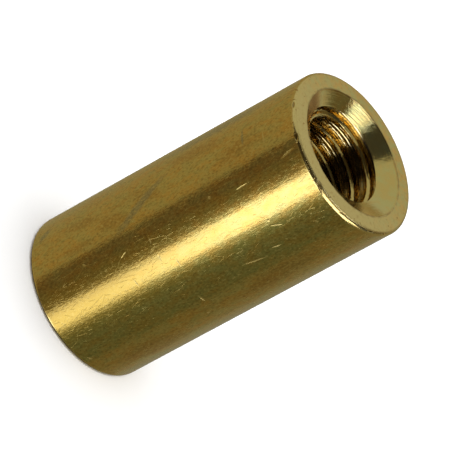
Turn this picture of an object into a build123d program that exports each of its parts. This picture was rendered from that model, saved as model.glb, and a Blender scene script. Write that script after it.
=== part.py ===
from build123d import *
from build123d.topology import SkipClean
from math import ceil, radians, tan
import os

# Round threaded standoff, turned from brass bar. Millimetres, +Z up the axis.
# The origin is the centre of the lower end face, and the part stands on that face.

# The bar, parted off to length
barrel_diameter = 6.0
barrel_length = 12.0

# The edge break round the outside of each end, and the blend where it meets the barrel
edge_break = 0.14
edge_break_blend = 0.1

# The thread, right-hand and tapped right through: across its roots, from turn to turn,
# between its flanks, and where round the axis the tap begins
thread_diameter = 4.0
thread_pitch = 0.7
thread_angle = 60.0
thread_start_angle = 330.0

# The hole that the thread is tapped from, drilled a pitch under the thread's diameter
tapping_diameter = thread_diameter - thread_pitch

# The countersink at each mouth, wider all round than the thread, so that the thread runs out in it
countersink_margin = 0.35
countersink_angle = 120.0

# How far the groove's section reaches inside the wall of the hole, so that it cuts clean
tap_overlap = 0.05

hole_radius = tapping_diameter / 2
root_radius = thread_diameter / 2
mouth_radius = root_radius + countersink_margin
countersink_point = mouth_radius / tan(radians(countersink_angle / 2))

# The groove is a vee with a flat root, an eighth of the pitch wide
root_half_width = thread_pitch / 16
tap_radius = hole_radius - tap_overlap
tap_half_width = root_half_width + (root_radius - tap_radius) * tan(radians(thread_angle / 2))

# The tap enters a pitch below the lower end and leaves above the upper one
tap_start = Plane.XY.offset(-thread_pitch).rotated((0, 0, thread_start_angle))
groove_plane = Plane(origin=tap_start.origin, x_dir=tap_start.x_dir, z_dir=-tap_start.y_dir)
turn_count = ceil(barrel_length / thread_pitch) + 2

os.makedirs("parts", exist_ok=True)

# One turn of the thread's groove, swept up the helix
with BuildPart() as thread_turn:
    with BuildLine(tap_start) as thread_line:
        Helix(pitch=thread_pitch, height=thread_pitch, radius=hole_radius)
    with BuildSketch(groove_plane) as groove_section:
        with BuildLine():
            Polyline(
                (tap_radius, -tap_half_width),
                (root_radius, -root_half_width),
                (root_radius, root_half_width),
                (tap_radius, tap_half_width),
                close=True,
            )
        make_face()
    sweep(path=thread_line.line, is_frenet=True)

with BuildPart() as round_standoff:
    # The bar's length, with its outer rims broken
    with BuildSketch() as bar_section:
        Circle(barrel_diameter / 2)
    extrude(amount=barrel_length)
    chamfer(round_standoff.edges().filter_by(GeomType.CIRCLE), length=edge_break)
    barrel_rims = round_standoff.edges().filter_by(GeomType.CIRCLE).group_by(SortBy.RADIUS)[-1]
    fillet(barrel_rims, radius=edge_break_blend)

    # The countersinks, cut to their full point before the hole is drilled
    with Locations(*round_standoff.faces().filter_by(Axis.Z)):
        Cone(
            bottom_radius=0,
            top_radius=mouth_radius,
            height=countersink_point,
            align=(Align.CENTER, Align.CENTER, Align.MAX),
            mode=Mode.SUBTRACT,
        )

    # The hole and then the thread, turn by turn. The hole's wall stays in four quarters,
    # so that the crest of the thread is made of short faces, a quarter turn each
    with SkipClean():
        for quarter in range(4):
            with BuildSketch(Plane.XY.rotated((0, 0, 90 * quarter))) as hole_quarter:
                with BuildLine():
                    wall = CenterArc((0, 0), hole_radius, start_angle=0, arc_size=90)
                    Polyline(wall @ 1, (0, 0), wall @ 0)
                make_face()
            extrude(amount=barrel_length, mode=Mode.SUBTRACT, clean=False)

        with Locations(*[(0, 0, thread_pitch * turn) for turn in range(turn_count)]):
            add(thread_turn.part, mode=Mode.SUBTRACT, clean=False)

round_standoff.part.label = "round_standoff"
export_step(round_standoff.part, "parts/round_standoff.step")
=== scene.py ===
import math

import bpy
from mathutils import Matrix, Vector


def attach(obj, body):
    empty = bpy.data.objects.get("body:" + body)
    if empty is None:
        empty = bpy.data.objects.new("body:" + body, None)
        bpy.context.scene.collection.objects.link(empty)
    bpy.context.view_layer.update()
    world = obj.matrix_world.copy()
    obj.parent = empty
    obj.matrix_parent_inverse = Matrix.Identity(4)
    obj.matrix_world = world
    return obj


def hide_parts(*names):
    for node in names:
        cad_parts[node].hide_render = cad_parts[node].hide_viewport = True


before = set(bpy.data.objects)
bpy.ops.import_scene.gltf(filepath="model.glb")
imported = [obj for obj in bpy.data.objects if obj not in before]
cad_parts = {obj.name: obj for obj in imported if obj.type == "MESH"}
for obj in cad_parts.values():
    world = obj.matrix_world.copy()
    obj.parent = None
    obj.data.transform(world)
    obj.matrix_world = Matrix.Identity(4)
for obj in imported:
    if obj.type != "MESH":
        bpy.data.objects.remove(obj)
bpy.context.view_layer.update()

# The standoff: one piece of round brass bar. It is turned to length, its ends are
# faced and broken at the rim, and a hole is drilled through it, countersunk at both
# mouths and tapped with a right-hand thread. It stands on its lower end, axis along Z.

# The standoff's sizes are in millimetres, and its finished mesh is scaled down to metres.
MM = 0.001
MICROMETRE = 0.001 * MM
BARREL_RADIUS = 3.0
BARREL_LENGTH = 12.0
# The outer edge is worn round. The facing tool's finish reaches a little way down it.
EDGE_ROUND = 0.18
ROUND_STEPS = 9
FACED_DEPTH = 0.14
TAPPING_RADIUS = 1.65
MOUTH_RADIUS = 2.35
MOUTH_HALF_ANGLE = math.radians(60)
THREAD_RADIUS = 2.0
THREAD_PITCH = 0.7
THREAD_FLANK_ANGLE = math.radians(30)
THREAD_START = math.radians(330)
# The groove's flat root, as a share of the pitch.
ROOT_FLAT = 1 / 8
# The tap's section starts inside the wall, and the tap this many turns below the lower end.
TAP_INSIDE_WALL = 0.05
TAP_LEAD = 2
TAP_TURNS = math.ceil(BARREL_LENGTH / THREAD_PITCH) + TAP_LEAD + 1
SEGMENTS = 320
CREASE_ANGLE = math.radians(25)
# The number of each finish, in the order in which the finishes are made.
DRAWN, FACED, COUNTERSUNK, TAPPED = range(4)


def rim_section():
    """Radius and height of the upper outer edge, worn round, from the barrel up to the end face."""
    points = []
    for step in range(ROUND_STEPS + 1):
        turn = math.radians(90) * step / ROUND_STEPS
        radius = BARREL_RADIUS - EDGE_ROUND * (1 - math.cos(turn))
        points.append((radius, BARREL_LENGTH - EDGE_ROUND * (1 - math.sin(turn))))
    return points


upper = rim_section()
countersink_depth = (MOUTH_RADIUS - TAPPING_RADIUS) / math.tan(MOUTH_HALF_ANGLE)
upper += [(MOUTH_RADIUS, BARREL_LENGTH), (TAPPING_RADIUS, BARREL_LENGTH - countersink_depth)]
section = upper + [(radius, BARREL_LENGTH - height) for radius, height in reversed(upper)]

outline = bpy.data.meshes.new("standoff_section")
outline.from_pydata(
    [(radius - BARREL_RADIUS, -height, 0) for radius, height in section],
    [(k, (k + 1) % len(section)) for k in range(len(section))],
    [],
)


def add_node(tree, kind, **settings):
    node = tree.nodes.new(kind)
    for name, value in settings.items():
        setattr(node, name, value)
    return node


def feed(socket, value):
    """Join an output to the socket, or set the socket to a plain value."""
    if isinstance(value, bpy.types.NodeSocket):
        socket.id_data.links.new(value, socket)
    else:
        socket.default_value = value


def made_by(tree, kind, inputs, **settings):
    """Add a node, feed its named inputs and give its first output."""
    node = add_node(tree, kind, **settings)
    for name, value in inputs.items():
        feed(node.inputs[name], value)
    return node.outputs[0]


def calc(tree, operation, *values):
    node = add_node(tree, "ShaderNodeMath", operation=operation)
    for socket, value in zip(node.inputs, values):
        feed(socket, value)
    return node.outputs[0]


def split(tree, place):
    node = add_node(tree, "ShaderNodeSeparateXYZ")
    feed(node.inputs["Vector"], place)
    return node.outputs


def apart(tree, value, centre):
    """How far the value lies from the centre, either way."""
    return calc(tree, "ABSOLUTE", calc(tree, "SUBTRACT", value, centre))


def from_axis(tree, place):
    parts = split(tree, place)
    squares = [calc(tree, "MULTIPLY", parts[axis], parts[axis]) for axis in "XY"]
    return calc(tree, "SQRT", calc(tree, "ADD", *squares))


def either(tree, test, yes, no):
    inputs = {"Switch": test, "True": yes, "False": no}
    return made_by(tree, "GeometryNodeSwitch", inputs, input_type="INT")


def numbered(tree, geometry, finish):
    """Store the number of the finish on each face, which it keeps through the cut."""
    inputs = {"Geometry": geometry, "Name": "finish", "Value": finish}
    return made_by(tree, "GeometryNodeStoreNamedAttribute", inputs, data_type="INT", domain="FACE")


def upright(tree, curve):
    """Keep Z up all along the curve, so that what is swept along it doesn't roll."""
    return made_by(tree, "GeometryNodeSetCurveNormal", {"Curve": curve}, mode="Z_UP")


def machining_tree(finishes):
    """The turned blank swept from its section, less a tap swept along the thread."""
    tree = bpy.data.node_groups.new("turn_and_tap", "GeometryNodeTree")
    face = tree.interface
    face.new_socket("Section", in_out="INPUT", socket_type="NodeSocketGeometry")
    sizes = {
        "Segments": SEGMENTS,
        "Barrel Radius": BARREL_RADIUS,
        "Barrel Length": BARREL_LENGTH,
        "Faced Depth": FACED_DEPTH,
        "Mouth Radius": MOUTH_RADIUS,
        "Countersink Depth": countersink_depth,
        "Tapping Radius": TAPPING_RADIUS,
        "Tap Base Radius": TAPPING_RADIUS - TAP_INSIDE_WALL,
        "Thread Radius": THREAD_RADIUS,
        "Thread Pitch": THREAD_PITCH,
        "Thread Turns": float(TAP_TURNS),
        "Flank Angle": THREAD_FLANK_ANGLE,
        "Start Angle": THREAD_START,
        "Crease Angle": CREASE_ANGLE,
    }
    settings = {}
    for name, size in sizes.items():
        kind = "NodeSocketInt" if isinstance(size, int) else "NodeSocketFloat"
        settings[face.new_socket(name, in_out="INPUT", socket_type=kind).identifier] = size
    face.new_socket("Standoff", in_out="OUTPUT", socket_type="NodeSocketGeometry")
    given = add_node(tree, "NodeGroupInput").outputs
    segments, pitch = given["Segments"], given["Thread Pitch"]
    tapping_radius, thread_radius = given["Tapping Radius"], given["Thread Radius"]

    # The turned blank, swept round the bar's rim.
    inputs = {"Resolution": segments, "Radius": given["Barrel Radius"]}
    circle = made_by(tree, "GeometryNodeCurvePrimitiveCircle", inputs, mode="RADIUS")
    section_line = made_by(tree, "GeometryNodeMeshToCurve", {"Mesh": given["Section"]})
    inputs = {"Curve": upright(tree, circle), "Profile Curve": section_line}
    blank = made_by(tree, "GeometryNodeCurveToMesh", inputs)

    # The groove's section: a vee with a flat root, measured from the wall of the hole.
    root_half = calc(tree, "MULTIPLY", pitch, ROOT_FLAT / 2)
    depth = calc(tree, "SUBTRACT", thread_radius, given["Tap Base Radius"])
    flank = calc(tree, "MULTIPLY", depth, calc(tree, "TANGENT", given["Flank Angle"]))
    base_half = calc(tree, "ADD", root_half, flank)
    root = calc(tree, "SUBTRACT", thread_radius, tapping_radius)
    base = calc(tree, "SUBTRACT", given["Tap Base Radius"], tapping_radius)
    corners = (
        (base, calc(tree, "MULTIPLY", base_half, -1)),
        (root, calc(tree, "MULTIPLY", root_half, -1)),
        (root, root_half),
        (base, base_half),
    )
    inputs = {}
    for number, (x, y) in enumerate(corners, 1):
        inputs[f"Point {number}"] = made_by(tree, "ShaderNodeCombineXYZ", {"X": x, "Y": y})
    groove = made_by(tree, "GeometryNodeCurvePrimitiveQuadrilateral", inputs, mode="POINTS")

    # The tap: that section carried along a right-hand helix, past both ends.
    inputs = {
        "Resolution": segments,
        "Rotations": given["Thread Turns"],
        "Start Radius": tapping_radius,
        "End Radius": tapping_radius,
        "Height": calc(tree, "MULTIPLY", given["Thread Turns"], pitch),
        "Reverse": True,
    }
    helix = made_by(tree, "GeometryNodeCurveSpiral", inputs)
    inputs = {"Curve": upright(tree, helix), "Profile Curve": groove, "Fill Caps": True}
    tap = made_by(tree, "GeometryNodeCurveToMesh", inputs)
    drop = calc(tree, "MULTIPLY", pitch, -TAP_LEAD)
    inputs = {
        "Geometry": tap,
        "Translation": made_by(tree, "ShaderNodeCombineXYZ", {"Z": drop}),
        "Rotation": made_by(tree, "ShaderNodeCombineXYZ", {"Z": given["Start Angle"]}),
    }
    tap = made_by(tree, "GeometryNodeTransform", inputs)

    # Which finish each face of the blank has, by how far out and how far up or down it lies.
    place = add_node(tree, "GeometryNodeInputPosition").outputs[0]
    middle = calc(tree, "DIVIDE", given["Barrel Length"], 2)
    from_middle = apart(tree, split(tree, place)["Z"], middle)
    cone_base = calc(tree, "SUBTRACT", middle, given["Countersink Depth"])
    faced_base = calc(tree, "SUBTRACT", middle, given["Faced Depth"])
    in_mouth = calc(tree, "LESS_THAN", from_axis(tree, place), given["Mouth Radius"])
    in_cone = calc(tree, "GREATER_THAN", from_middle, cone_base)
    at_end = calc(tree, "GREATER_THAN", from_middle, faced_base)
    outside = either(tree, at_end, FACED, DRAWN)
    inside = either(tree, in_cone, COUNTERSUNK, TAPPED)

    inputs = {
        "Mesh 1": numbered(tree, blank, either(tree, in_mouth, inside, outside)),
        "Mesh 2": numbered(tree, tap, TAPPED),
    }
    solid = made_by(tree, "GeometryNodeMeshBoolean", inputs, operation="DIFFERENCE", solver="MANIFOLD")

    # Smooth all over, but for the edges that turn sharply.
    solid = made_by(tree, "GeometryNodeSetShadeSmooth", {"Geometry": solid}, domain="FACE")
    bend = add_node(tree, "GeometryNodeInputMeshEdgeAngle").outputs["Unsigned Angle"]
    sharp = calc(tree, "GREATER_THAN", bend, given["Crease Angle"])
    inputs = {"Geometry": solid, "Selection": sharp, "Shade Smooth": False}
    solid = made_by(tree, "GeometryNodeSetShadeSmooth", inputs, domain="EDGE")

    solid = made_by(tree, "GeometryNodeTransform", {"Geometry": solid, "Scale": (MM, MM, MM)})
    solid = made_by(tree, "GeometryNodeRealizeInstances", {"Geometry": solid})
    stored = made_by(tree, "GeometryNodeInputNamedAttribute", {"Name": "finish"}, data_type="INT")
    for number, material in enumerate(finishes):
        chosen = calc(tree, "COMPARE", stored, number, 0.5)
        inputs = {"Geometry": solid, "Selection": chosen, "Material": material}
        solid = made_by(tree, "GeometryNodeSetMaterial", inputs)
    feed(add_node(tree, "NodeGroupOutput").inputs["Standoff"], solid)
    return tree, settings


# The brass: the barrel keeps the skin of the drawn bar, tumbled with other parts until it
# is scratched all over, and handled until it is stained. The ends are faced with a tool
# that leaves fine rings, the mouths are cut bright, and the tap tears fine ridges.

BRASS = (0.80, 0.56, 0.18, 1)
RED_BRASS = (0.88, 0.54, 0.15, 1)
GREEN_BRASS = (0.74, 0.60, 0.22, 1)
BROWN_STAIN = (0.62, 0.36, 0.10, 1)
GREY_STAIN = (0.50, 0.43, 0.25, 1)
# The next two colours also paint shade: the first on the barrel's highlight strip, the second beside it
# and in the nicks.
PAINTED_SHADE_BRASS = (0.53, 0.345, 0.08, 1)
DARK_STAIN_AND_SHADE = (0.35, 0.22, 0.07, 1)
PALE_BRASS = (0.90, 0.67, 0.26, 1)
# A coppery colour for a painted reflection in the countersink.
PAINTED_REFLECTION_COPPER = (0.50, 0.22, 0.03, 1)
THREAD_BRASS = (0.93, 0.79, 0.45, 1)
# A colour for painted shade on the thread's upward flanks.
SHADED_FLANK_BRASS = (0.74, 0.53, 0.18, 1)
# Near black, for painted shade in the bore.
BORE_SHADE_BLACK = (0.06, 0.045, 0.035, 1)


def brass_surface(name):
    material = bpy.data.materials.new(name)
    material.use_nodes = True
    shader = material.node_tree.nodes["Principled BSDF"]
    shader.inputs["Metallic"].default_value = 1.0
    return material, material.node_tree, shader


def stretched(tree, place, factors):
    node = add_node(tree, "ShaderNodeVectorMath", operation="MULTIPLY")
    feed(node.inputs[0], place)
    feed(node.inputs[1], factors)
    return node.outputs[0]


def position(tree):
    """The place on the piece, in millimetres."""
    place = add_node(tree, "ShaderNodeTexCoord").outputs["Object"]
    return stretched(tree, place, (1 / MM, 1 / MM, 1 / MM))


def leaning(tree, place, lean):
    """Turn the place as it rises, so that a pattern that runs up the barrel leans."""
    turn = math.tan(lean) / BARREL_RADIUS
    angle = calc(tree, "MULTIPLY", split(tree, place)["Z"], turn)
    inputs = {"Vector": place, "Angle": angle}
    return made_by(tree, "ShaderNodeVectorRotate", inputs, rotation_type="Z_AXIS")


def noise(tree, place, scale, detail=2.0, roughness=0.5):
    """Uneven values about 0.5, with scale patches to the millimetre.

    They vary over the surface, or along a line where the place is one number.
    """
    line = place.type == "VALUE"
    inputs = {"W" if line else "Vector": place, "Scale": scale, "Detail": detail, "Roughness": roughness}
    return made_by(tree, "ShaderNodeTexNoise", inputs, noise_dimensions="1D" if line else "3D")


def between(tree, value, low, high, least=0.0, most=1.0):
    """A smooth step of the value, from least at low to most at high."""
    inputs = {"Value": value, "From Min": low, "From Max": high, "To Min": least, "To Max": most}
    return made_by(tree, "ShaderNodeMapRange", inputs, interpolation_type="SMOOTHSTEP")


def blend(tree, amount, first, second):
    # The mix node keeps its colours in sockets 6 and 7, after those for numbers and vectors.
    node = add_node(tree, "ShaderNodeMix", data_type="RGBA")
    for number, value in ((0, amount), (6, first), (7, second)):
        feed(node.inputs[number], value)
    return node.outputs[2]


def mottled(tree, mottle, first, second):
    """The first colour with patches of the second."""
    return blend(tree, between(tree, mottle, 0.35, 0.65), first, second)


def part_of(tree, amount, share):
    return calc(tree, "MULTIPLY", amount, share)


def total(tree, *parts):
    """The sum of several amounts, each times its own weight."""
    whole = 0.0
    for amount, weight in parts:
        whole = calc(tree, "MULTIPLY_ADD", amount, weight, whole)
    return whole


def most_of(tree, parts):
    whole = parts[0]
    for part in parts[1:]:
        whole = calc(tree, "MAXIMUM", whole, part)
    return whole


# A mark reaches at least this far into the metal, so that it follows the curve of the
# surface, and it fades out between these shares of its half width.
MARK_DEPTH = 0.4
MARK_FADE = (1.15, 0.45)


def mark(tree, place, azimuth, height, lean, width, length, ragged=0.35, radius=BARREL_RADIUS):
    """A mark on the barrel, 1 inside it and 0 outside. Azimuth turns from -Y towards +X."""
    azimuth = math.radians(azimuth)
    inputs = {
        "Vector": place,
        "Location": (radius * math.sin(azimuth), -radius * math.cos(azimuth), height),
        "Rotation": (0, math.radians(lean), azimuth),
        "Scale": (width / 2, max(width / 2, MARK_DEPTH), length / 2),
    }
    from_middle = made_by(tree, "ShaderNodeMapping", inputs, vector_type="TEXTURE")
    distance = add_node(tree, "ShaderNodeVectorMath", operation="LENGTH")
    feed(distance.inputs[0], from_middle)
    edge = calc(tree, "MULTIPLY_ADD", noise(tree, place, 3.0, 4.0, 0.65), 2 * ragged, -ragged)
    return between(tree, calc(tree, "ADD", distance.outputs["Value"], edge), *MARK_FADE)


def marks(tree, place, rows, **settings):
    return most_of(tree, [mark(tree, place, *row, **settings) for row in rows])


def finished(material, shader, colour, roughness, micrometres):
    """Give the shader its colour and roughness, and its relief as a height in micrometres."""
    tree = material.node_tree
    feed(shader.inputs["Base Color"], colour)
    feed(shader.inputs["Roughness"], total(tree, *roughness))
    inputs = {"Strength": 1.0, "Distance": MICROMETRE, "Height": total(tree, *micrometres)}
    feed(shader.inputs["Normal"], made_by(tree, "ShaderNodeBump", inputs))
    return material


# Lean in degrees, how many to the millimetre across and along, and how rare.
SCRATCH_SETS = (
    (17, 26, 1.6, 0.68),
    (-11, 28, 2.0, 0.68),
    (3, 24, 1.2, 0.68),
    (-34, 26, 2.4, 0.71),
    (40, 28, 2.8, 0.71),
)
SCRATCH_FADE = 0.07
# Azimuth, height, lean, width and length, in degrees and millimetres.
BROWN_MARKS = (
    (-38, 3.9, 14, 0.7, 1.7),
    (-43, 5.4, 16, 0.6, 1.6),
    (-50, 2.4, 10, 0.5, 2.0),
    (-33, 2.2, 0, 0.4, 1.6),
    (-58, 7.6, 8, 0.7, 3.0),
    (-40, 9.4, 0, 0.8, 1.8),
    (58, 2.4, 6, 1.2, 3.0),
    (52, 8.4, -6, 1.0, 4.0),
)
GREY_MARKS = (
    (-40, 5.1, -30, 0.4, 3.0),
    (-59, 0.65, -46, 0.35, 0.7),
    (-74, 8.2, 0, 0.8, 5.0),
    (-48, 9.7, 86, 0.12, 0.8),
)
LONG_SCRATCHES = (
    (32, 8.15, 10, 0.06, 1.1),
    (30, 9.2, 9, 0.05, 0.5),
    (17, 9.75, 20, 0.05, 0.45),
    (-15, 9.3, -3, 0.06, 0.65),
    (-20, 11.4, -13, 0.07, 0.7),
    (-13, 3.95, -25, 0.05, 0.35),
    (-39, 10.6, 86, 0.06, 0.6),
    (39, 5.5, 90, 0.07, 0.4),
    (0, 5.2, 88, 0.05, 0.3),
    (8, 5.75, 88, 0.05, 0.35),
    (7, 3.9, 82, 0.05, 0.3),
    (-13, 5.15, 88, 0.08, 0.3),
    (12, 9.6, 0, 0.1, 0.12),
    (53, 5.1, 0, 0.12, 0.12),
    (-19, 7.95, 0, 0.1, 0.12),
    (-20, 2.3, 30, 0.07, 0.2),
    (38, 0.4, 60, 0.08, 0.25),
)
# Painted shade: a strip up the front, along the reflection of the light strip, is painted duller towards
# its lower end, and darkest along a line just beside its middle, so that the highlight fades and narrows
# there: how far to the right each lies.
PAINTED_SHADE_STRIP = 0.2
PAINTED_SHADE_LINE = -0.15


def drawn_finish():
    material, tree, shader = brass_surface("drawn_brass")
    place = position(tree)
    parts = split(tree, place)
    skin = noise(tree, place, 5.0, 2.0, 0.5)
    grain = noise(tree, stretched(tree, place, (1, 1, 0.6)), 15.0, 2.0, 0.6)
    lines = noise(tree, stretched(tree, place, (10, 10, 0.5)), 1.0, 3.0, 0.6)
    mottle = noise(tree, stretched(tree, place, (1, 1, 0.5)), 3.0, 5.0, 0.7)
    cloud = noise(tree, stretched(tree, place, (1, 1, 0.4)), 0.9, 5.0, 0.65)

    crowded = between(tree, noise(tree, place, 0.8, 2.0), 0.35, 0.6, 0.5, 1.0)
    scratches = []
    grooves = 0.0
    for lean, across, along, rare in SCRATCH_SETS:
        leant = leaning(tree, place, math.radians(lean))
        dashes = noise(tree, stretched(tree, leant, (across, across, along)), 1.0, 1.0)
        grooves = calc(tree, "ADD", dashes, grooves)
        scratches.append(between(tree, dashes, rare, rare + SCRATCH_FADE))
    scratched = part_of(tree, most_of(tree, scratches), crowded)
    gouged = marks(tree, place, LONG_SCRATCHES, ragged=0.1)
    brown = marks(tree, place, BROWN_MARKS)
    grey = marks(tree, place, GREY_MARKS)

    from_strip = apart(tree, parts["X"], PAINTED_SHADE_STRIP)
    from_line = apart(tree, parts["X"], PAINTED_SHADE_LINE)
    # Painted shade over the highlight strip, growing towards the lower end.
    dull = part_of(tree, between(tree, parts["Z"], 10.0, 1.5), between(tree, from_strip, 1.3, 0.3))
    dark = part_of(tree, between(tree, parts["Z"], 10.0, 3.0), between(tree, from_line, 0.38, 0.05))
    # The colour is less uneven where the strip shines.
    uneven = between(tree, from_strip, 0.5, 0.9, 0.3, 1.0)
    darker = part_of(tree, between(tree, grain, 0.3, 0.5, 0.5, 0.0), uneven)
    paler = part_of(tree, between(tree, grain, 0.5, 0.7, 0.0, 0.8), uneven)

    colour = mottled(tree, mottle, GREEN_BRASS, RED_BRASS)
    colour = blend(tree, between(tree, cloud, 0.5, 0.8, 0.0, 0.5), colour, BROWN_STAIN)
    colour = blend(tree, part_of(tree, brown, 0.55), colour, BROWN_STAIN)
    colour = blend(tree, part_of(tree, grey, 0.8), colour, GREY_STAIN)
    # Painted shade: the highlight strip darker towards its lower end, and along a line beside its
    # middle.
    colour = blend(tree, dull, colour, PAINTED_SHADE_BRASS)
    colour = blend(tree, part_of(tree, dark, 0.4), colour, DARK_STAIN_AND_SHADE)
    colour = blend(tree, darker, colour, DARK_STAIN_AND_SHADE)
    colour = blend(tree, paler, colour, PALE_BRASS)
    colour = blend(tree, gouged, colour, PALE_BRASS)

    rubbed = between(tree, grain, 0.5, 0.7)
    roughness = (
        (1.0, 0.10), (lines, 0.08), (rubbed, 0.12), (scratched, 0.08), (gouged, 0.25), (grey, 0.05),
    )
    micrometres = (
        (skin, 3.0), (grain, 2.2), (lines, 2.0), (grooves, 0.8), (scratched, -1.2), (gouged, -5.0),
    )
    return finished(material, shader, colour, roughness, micrometres)


# Azimuth, height, lean, width and length, in degrees and millimetres.
NICKS = (
    (-27, 11.9, 0, 0.35, 0.12),
    (10, 11.92, 12, 0.5, 0.12),
    (-8, 11.94, 0, 0.4, 0.07),
    (33, 11.95, -8, 0.3, 0.06),
    (-52, 11.92, 0, 0.3, 0.08),
    (61, 11.95, 0, 0.35, 0.06),
)
LIP_LINE_WIDTH = 0.07
LIP_LINE_WANDER = 0.1


def lip_line(tree, place, way):
    """A darker line at the countersink's edge, patchy and a little ragged.

    The way is 1 for the side out on the end face, and -1 for the side down in the countersink.
    """
    ragged = noise(tree, place, 5.0, 3.0, 0.6)
    beyond = calc(tree, "SUBTRACT", from_axis(tree, place), MOUTH_RADIUS)
    beyond = calc(tree, "MULTIPLY_ADD", ragged, LIP_LINE_WANDER * way, beyond)
    beyond = calc(tree, "SUBTRACT", beyond, LIP_LINE_WANDER / 2 * way)
    patchy = between(tree, noise(tree, place, 2.2, 3.0, 0.6), 0.38, 0.6, 0.1, 0.75)
    return part_of(tree, between(tree, beyond, LIP_LINE_WIDTH * way, 0.0), patchy)


# Painted light: the ends are painted paler towards the front. Their broken edge is smoother than the
# faced ring, and the one turns into the other between these two depths in from the barrel.
PAINTED_LIGHT_FROM, PAINTED_LIGHT_TO = 2.5, -2.5
EDGE_INNER, EDGE_OUTER = 0.1, 0.04


def faced_finish():
    material, tree, shader = brass_surface("faced_brass")
    place = position(tree)
    rings = noise(tree, from_axis(tree, place), 18.0, 3.0, 0.6)
    skin = noise(tree, place, 7.0, 3.0, 0.6)
    mottle = noise(tree, place, 3.0, 4.0, 0.6)
    dirty = noise(tree, place, 7.0, 4.0, 0.65)
    pits = between(tree, noise(tree, place, 9.0, 0.0), 0.76, 0.8)
    nicked_and_shaded = marks(tree, place, NICKS, ragged=0.3)
    front = between(tree, split(tree, place)["Y"], PAINTED_LIGHT_FROM, PAINTED_LIGHT_TO)
    inward = calc(tree, "SUBTRACT", BARREL_RADIUS, from_axis(tree, place))
    edge = between(tree, inward, EDGE_INNER, EDGE_OUTER)

    colour = mottled(tree, mottle, GREEN_BRASS, RED_BRASS)
    # Painted light: the end faces paler towards the front.
    colour = blend(tree, front, colour, PALE_BRASS)
    colour = blend(tree, between(tree, dirty, 0.5, 0.72, 0.0, 0.45), colour, BROWN_STAIN)
    colour = blend(tree, lip_line(tree, place, 1), colour, DARK_STAIN_AND_SHADE)
    colour = blend(tree, pits, colour, BROWN_STAIN)
    # Painted shade: the nicks are painted dark as well as dented.
    colour = blend(tree, part_of(tree, nicked_and_shaded, 0.8), colour, DARK_STAIN_AND_SHADE)

    roughness = ((skin, 0.12), (rings, 0.12), (edge, -0.17), (1.0, 0.23))
    micrometres = ((rings, 2.0), (skin, 3.0), (pits, -8.0), (nicked_and_shaded, -20.0))
    return finished(material, shader, colour, roughness, micrometres)


def countersunk_finish():
    material, tree, shader = brass_surface("countersunk_brass")
    place = position(tree)
    rings = noise(tree, from_axis(tree, place), 14.0, 3.0, 0.7)
    skin = noise(tree, place, 6.0, 3.0, 0.6)
    mottle = noise(tree, place, 2.5, 4.0, 0.6)
    # Painted reflection: a coppery patch on the countersink's left side and a faint one on its right,
    # brass mirrored in brass.
    high_painted_reflection = mark(tree, place, -72, 11.8, 0, 2.0, 1.2, 0.3, MOUTH_RADIUS)
    low_painted_reflection = mark(tree, place, 75, 11.8, 0, 1.4, 0.9, 0.3, TAPPING_RADIUS)
    painted_reflection = most_of(tree, (high_painted_reflection, part_of(tree, low_painted_reflection, 0.2)))

    colour = mottled(tree, mottle, GREEN_BRASS, BRASS)
    # Painted reflection of brass in brass, on the countersink.
    colour = blend(tree, part_of(tree, painted_reflection, 0.9), colour, PAINTED_REFLECTION_COPPER)
    colour = blend(tree, lip_line(tree, place, -1), colour, BROWN_STAIN)

    roughness = ((skin, 0.1), (rings, 0.06), (1.0, 0.04))
    micrometres = ((rings, 5.0), (skin, 5.0))
    return finished(material, shader, colour, roughness, micrometres)


RIDGES_TO_A_TURN = 6
# Painted shade: the back of the bore, below the mouth, is painted nearly black. It fades in along each
# of these axes, from the first place to the second, and keeps to the walls that don't face upwards.
BORE_SHADE_REACH = (
    ("X", -0.6, 0.0),
    ("X", 1.3, 0.8, 0.5, 1.0),
    ("Y", 0.6, 1.2),
    ("Z", 11.75, 11.4),
)


def tapped_finish():
    material, tree, shader = brass_surface("tapped_brass")
    place = position(tree)
    parts = split(tree, place)
    # The ridges follow the thread round, so they meet themselves a turn further up.
    turned = calc(tree, "DIVIDE", calc(tree, "ARCTAN2", parts["Y"], parts["X"]), math.tau)
    climb = calc(tree, "SUBTRACT", calc(tree, "DIVIDE", parts["Z"], THREAD_PITCH), turned)
    ridge = calc(tree, "SINE", calc(tree, "MULTIPLY", climb, math.tau * RIDGES_TO_A_TURN))
    torn = noise(tree, stretched(tree, place, (1, 1, 3.0)), 3.0, 3.0, 0.6)
    ridge = part_of(tree, ridge, between(tree, torn, 0.35, 0.65, 0.5, 1.0))
    mottle = noise(tree, place, 3.0, 3.0, 0.6)
    facing = add_node(tree, "ShaderNodeNewGeometry").outputs["True Normal"]
    upward = split(tree, facing)["Z"]
    # Painted shade in the bore, on the walls that don't face upwards.
    bore_shade = between(tree, upward, 0.4, 0.1)
    for axis, *reach in BORE_SHADE_REACH:
        bore_shade = part_of(tree, between(tree, parts[axis], *reach), bore_shade)

    colour = mottled(tree, mottle, PALE_BRASS, THREAD_BRASS)
    # Painted shade: the upward flanks are painted darker and more golden than the other walls.
    colour = blend(tree, between(tree, upward, 0.4, 0.7), colour, SHADED_FLANK_BRASS)
    # Painted shade: the back of the bore painted nearly black.
    colour = blend(tree, part_of(tree, bore_shade, 0.97), colour, BORE_SHADE_BLACK)

    return finished(material, shader, colour, ((torn, 0.13), (1.0, 0.05)), ((ridge, 15.0), (torn, 4.0)))


finishes = (drawn_finish(), faced_finish(), countersunk_finish(), tapped_finish())


def put(name, data):
    """An object of this data, in the scene."""
    item = bpy.data.objects.new(name, data)
    bpy.context.scene.collection.objects.link(item)
    return item


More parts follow.
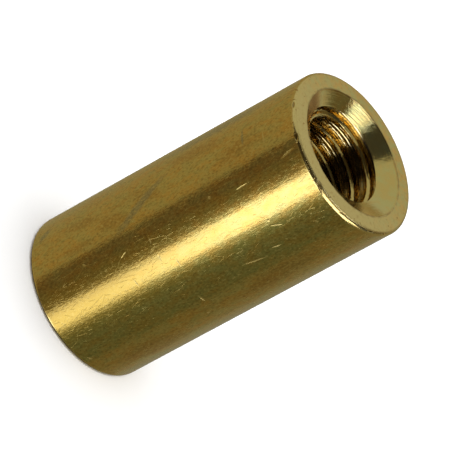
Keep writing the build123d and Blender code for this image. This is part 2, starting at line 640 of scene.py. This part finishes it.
base = put("base", outline)
work = base.modifiers.new("turn_and_tap", "NODES")
work.node_group, settings = machining_tree(finishes)
for identifier, size in settings.items():
    work[identifier] = size
depsgraph = bpy.context.evaluated_depsgraph_get()
standoff_mesh = bpy.data.meshes.new_from_object(base.evaluated_get(depsgraph))
standoff_mesh.name = "turned_standoff"
base.modifiers.remove(work)
bpy.data.objects.remove(base)
standoff = put("turned_standoff", standoff_mesh)
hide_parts("round_standoff")
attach(standoff, "root")

# The bench: a plain pale floor that the standoff stands on. It takes the soft shadow, and
# the brass doesn't mirror it. From here on, all sizes are in metres.

FLOOR_SIZE = 6.0
half = FLOOR_SIZE / 2
corners = [(-half, -half, 0), (half, -half, 0), (half, half, 0), (-half, half, 0)]
floor_mesh = bpy.data.meshes.new("floor")
floor_mesh.from_pydata(corners, [], [range(len(corners))])
floor_paint = bpy.data.materials.new("pale_floor")
floor_paint.use_nodes = True
paint = floor_paint.node_tree.nodes["Principled BSDF"].inputs
paint["Base Color"].default_value = (0.9, 0.9, 0.9, 1)
paint["Roughness"].default_value = 1.0
paint["Specular IOR Level"].default_value = 0.0
floor_mesh.materials.append(floor_paint)
floor = put("floor", floor_mesh)
floor.visible_glossy = False

# The studio: a white surround, seen behind the standoff, with softer light for the floor.
# Cards stand all round it for the brass to mirror, with a dark one under it, and a soft
# lamp hangs overhead.

SURROUND_LIGHT = 1.0
FLOOR_LIGHT = 0.55
world = bpy.data.worlds.new("studio")
bpy.context.scene.world = world
world.use_nodes = True
tree = world.node_tree
tree.nodes.clear()
rays = add_node(tree, "ShaderNodeLightPath").outputs
seen = [rays[name] for name in ("Is Camera Ray", "Is Glossy Ray", "Is Transmission Ray")]
mixed = add_node(tree, "ShaderNodeMixShader")
feed(mixed.inputs["Fac"], most_of(tree, seen))
# The mix node takes its two lights in sockets 1 and 2.
for number, strength in ((1, FLOOR_LIGHT), (2, SURROUND_LIGHT)):
    inputs = {"Color": (1, 1, 1, 1), "Strength": strength}
    feed(mixed.inputs[number], made_by(tree, "ShaderNodeBackground", inputs))
feed(add_node(tree, "ShaderNodeOutputWorld").inputs["Surface"], mixed.outputs[0])


def glowing_card(name, points, faces, colour):
    """A card of even light, seen only in the gloss of the brass."""
    mesh = bpy.data.meshes.new(name)
    mesh.from_pydata(points, [], faces)
    glow_paint = bpy.data.materials.new(name)
    glow_paint.use_nodes = True
    tree = glow_paint.node_tree
    tree.nodes.clear()
    glow = made_by(tree, "ShaderNodeEmission", {"Color": (*colour, 1), "Strength": 1.0})
    feed(add_node(tree, "ShaderNodeOutputMaterial").inputs["Surface"], glow)
    mesh.materials.append(glow_paint)
    item = put(name, mesh)
    for ray in ("camera", "diffuse", "shadow", "transmission", "volume_scatter"):
        setattr(item, f"visible_{ray}", False)


CARD_DISTANCE = 0.6
NEAR_DISTANCE = 0.58
ROOM_DISTANCE = 0.66
CARD_CENTRE_HEIGHT = 0.006
CARD_STEP = 4
# Name, from and to azimuth, from and to height angle, colour. Azimuth turns from -Y towards +X.
CARDS = (
    ("tan_card", -180, -55, -80, 12, (0.291, 0.259, 0.137)),
    ("dark_card", -55, -33, -80, 12, (0.115, 0.094, 0.049)),
    ("dark_card_edge", -33, -20, -80, 12, (0.15, 0.13, 0.06)),
    ("strip_edge_left", -20, -11, -80, 12, (0.24, 0.22, 0.12)),
    ("strip_edge_left_near", -11, -6, -80, 12, (0.5, 0.5, 0.35)),
    ("light_strip", -6, 20, -80, 12, (1.85, 2.0, 2.05)),
    ("strip_edge_right", 20, 29, -80, 12, (0.5, 0.53, 0.4)),
    ("olive_card_edge", 29, 40, -80, 12, (0.19, 0.21, 0.12)),
    ("olive_card_near", 40, 52, -80, 12, (0.13, 0.145, 0.085)),
    ("olive_card", 52, 84, -80, 12, (0.110, 0.118, 0.064)),
    ("brown_card", 84, 114, -80, 12, (0.161, 0.15, 0.08)),
    ("dull_card", 114, 134, -80, 12, (0.2, 0.185, 0.11)),
    ("back_card", 134, 180, -80, 12, (0.25, 0.25, 0.18)),
    ("grey_card", 150, 291, 12, 66, (0.415, 0.448, 0.40)),
    ("grey_card_top", 180, 291, 66, 72, (0.415, 0.448, 0.40)),
    ("grey_card_near", 143, 150, 12, 66, (0.31, 0.32, 0.27)),
    ("softbox", 98, 118, 53, 77, (2.5, 2.85, 3.5)),
    ("olive_flag", 118, 143, 12, 66, (0.125, 0.11, 0.07)),
    ("front_card", 20, 82, 38, 66, (0.34, 0.35, 0.30)),
    ("front_window", 22, 68, 12, 38, (2.4, 2.45, 2.5)),
    ("front_window_side", 68, 90, 12, 30, (2.4, 2.45, 2.5)),
    ("front_flag", -69, 20, 12, 66, (0.03, 0.025, 0.015)),
    ("dark_room", -180, 180, 12, 90, (0.045, 0.05, 0.05), ROOM_DISTANCE),
    ("front_window_low", 22, 75, -6, 12, (2.4, 2.45, 2.5), NEAR_DISTANCE),
)


def card(name, az0, az1, el0, el1, colour, distance=CARD_DISTANCE):
    """A card curved to a sphere round the standoff, with a face for every few degrees."""
    across = max(2, int((az1 - az0) / CARD_STEP))
    up = max(2, int((el1 - el0) / CARD_STEP))
    points = []
    for j in range(up + 1):
        el = math.radians(el0 + (el1 - el0) * j / up)
        for i in range(across + 1):
            az = math.radians(az0 + (az1 - az0) * i / across)
            points.append((
                distance * math.cos(el) * math.sin(az),
                -distance * math.cos(el) * math.cos(az),
                distance * math.sin(el) + CARD_CENTRE_HEIGHT,
            ))
    faces = []
    for j in range(up):
        for i in range(across):
            a = j * (across + 1) + i
            faces.append((a, a + 1, a + across + 2, a + across + 1))
    glowing_card(name, points, faces, colour)


for row in CARDS:
    card(*row)

UNDER_COLOUR = (0.02, 0.015, 0.01)
UNDER_RADIUS = BARREL_RADIUS * MM
UNDER_DROP = 0.0003
UNDER_SIDES = 40
turns = [math.tau * side / UNDER_SIDES for side in range(UNDER_SIDES)]
rim = [(UNDER_RADIUS * math.cos(turn), UNDER_RADIUS * math.sin(turn), -UNDER_DROP) for turn in turns]
glowing_card("under_card", rim, [range(UNDER_SIDES)], UNDER_COLOUR)

lamp_data = bpy.data.lights.new("overhead_softbox", "AREA")
lamp_data.shape = "SQUARE"
lamp_data.size = 0.5
lamp_data.energy = 3.0
lamp = put("overhead_softbox", lamp_data)
lamp.location = (0.0, 0.05, 0.5)
lamp.visible_glossy = False

# The camera: a long lens, close above the front of the standoff and looking down on it,
# rolled over as the photograph is.

CAMERA_HEIGHT_ANGLE = math.radians(31.37)
CAMERA_DISTANCE = 0.1765
CAMERA_ROLL = math.radians(61.33)
AIM = Vector((0.000068, 0, 0.00625))
camera_data = bpy.data.cameras.new("camera")
camera_data.sensor_width = 36.0
camera_data.lens = 416.15
camera_data.clip_start = 0.01
camera = put("camera", camera_data)
back = Vector((0, -math.cos(CAMERA_HEIGHT_ANGLE), math.sin(CAMERA_HEIGHT_ANGLE)))
turn = back.to_track_quat("Z", "Y").to_matrix() @ Matrix.Rotation(CAMERA_ROLL, 3, "Z")
camera.matrix_world = Matrix.Translation(AIM + back * CAMERA_DISTANCE) @ turn.to_4x4()
bpy.context.scene.camera = camera
bpy.context.scene.view_settings.view_transform = "Standard"
